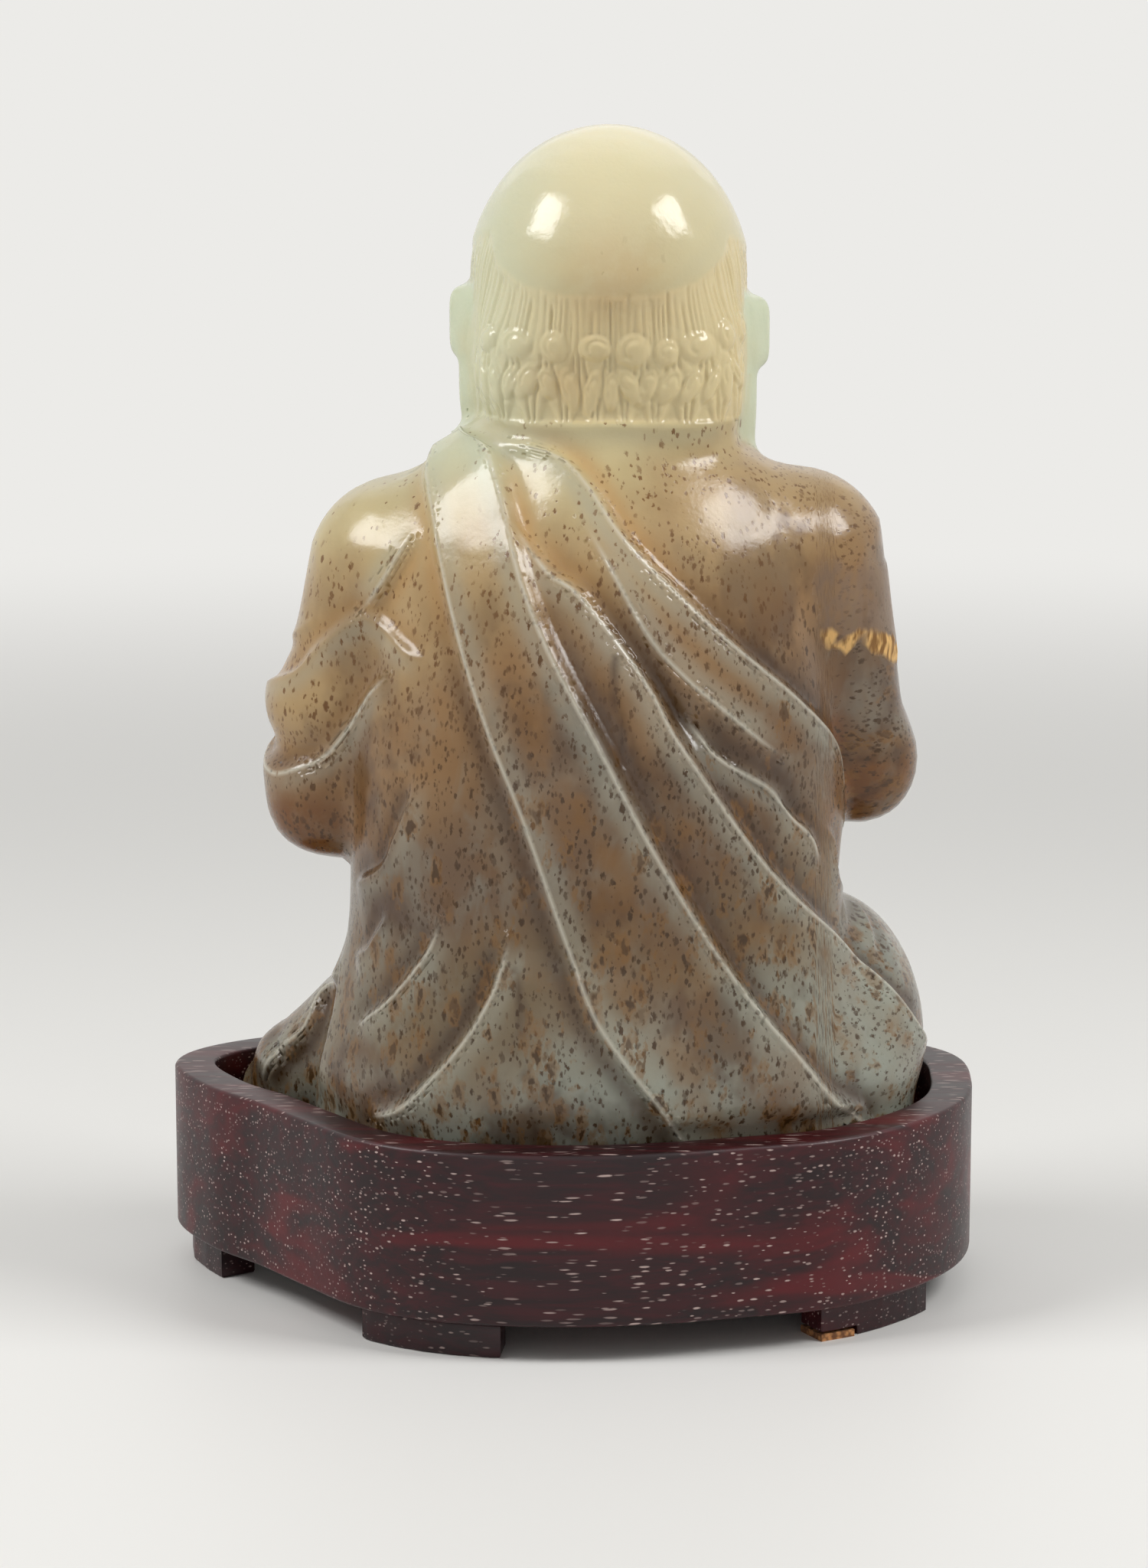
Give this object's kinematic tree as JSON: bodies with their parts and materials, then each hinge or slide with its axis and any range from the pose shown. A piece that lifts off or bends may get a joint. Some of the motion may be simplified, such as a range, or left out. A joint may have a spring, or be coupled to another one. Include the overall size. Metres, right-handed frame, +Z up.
{
  "type": "jade bodhidharma figure",
  "caption": "Carved and polished jade figure of a seated bald monk in a draped robe, set in a fitted low hardwood stand.",
  "frame": {"origin": "on the ground under the middle of the stand", "axes": "+Z up; the figure faces -Y, so its back is towards +Y and its robed left shoulder towards +X"},
  "size_m": [0.1082, 0.0702, 0.1534],
  "materials": {
    "jade": "polished translucent stone, opaque in the bulk",
    "stand_wood": "satin dark red hardwood with pale pores",
    "foot_wood": "satin dark red hardwood",
    "cork": "matt cork"
  },
  "bodies": {
    "root": {"jade_figure": "jade", "stand_block": "stand_wood", "foot_back_left": "foot_wood", "foot_back_right": "foot_wood", "foot_front_right": "foot_wood", "foot_front_left": "foot_wood", "cork_shim": "cork"}
  },
  "joints": []
}
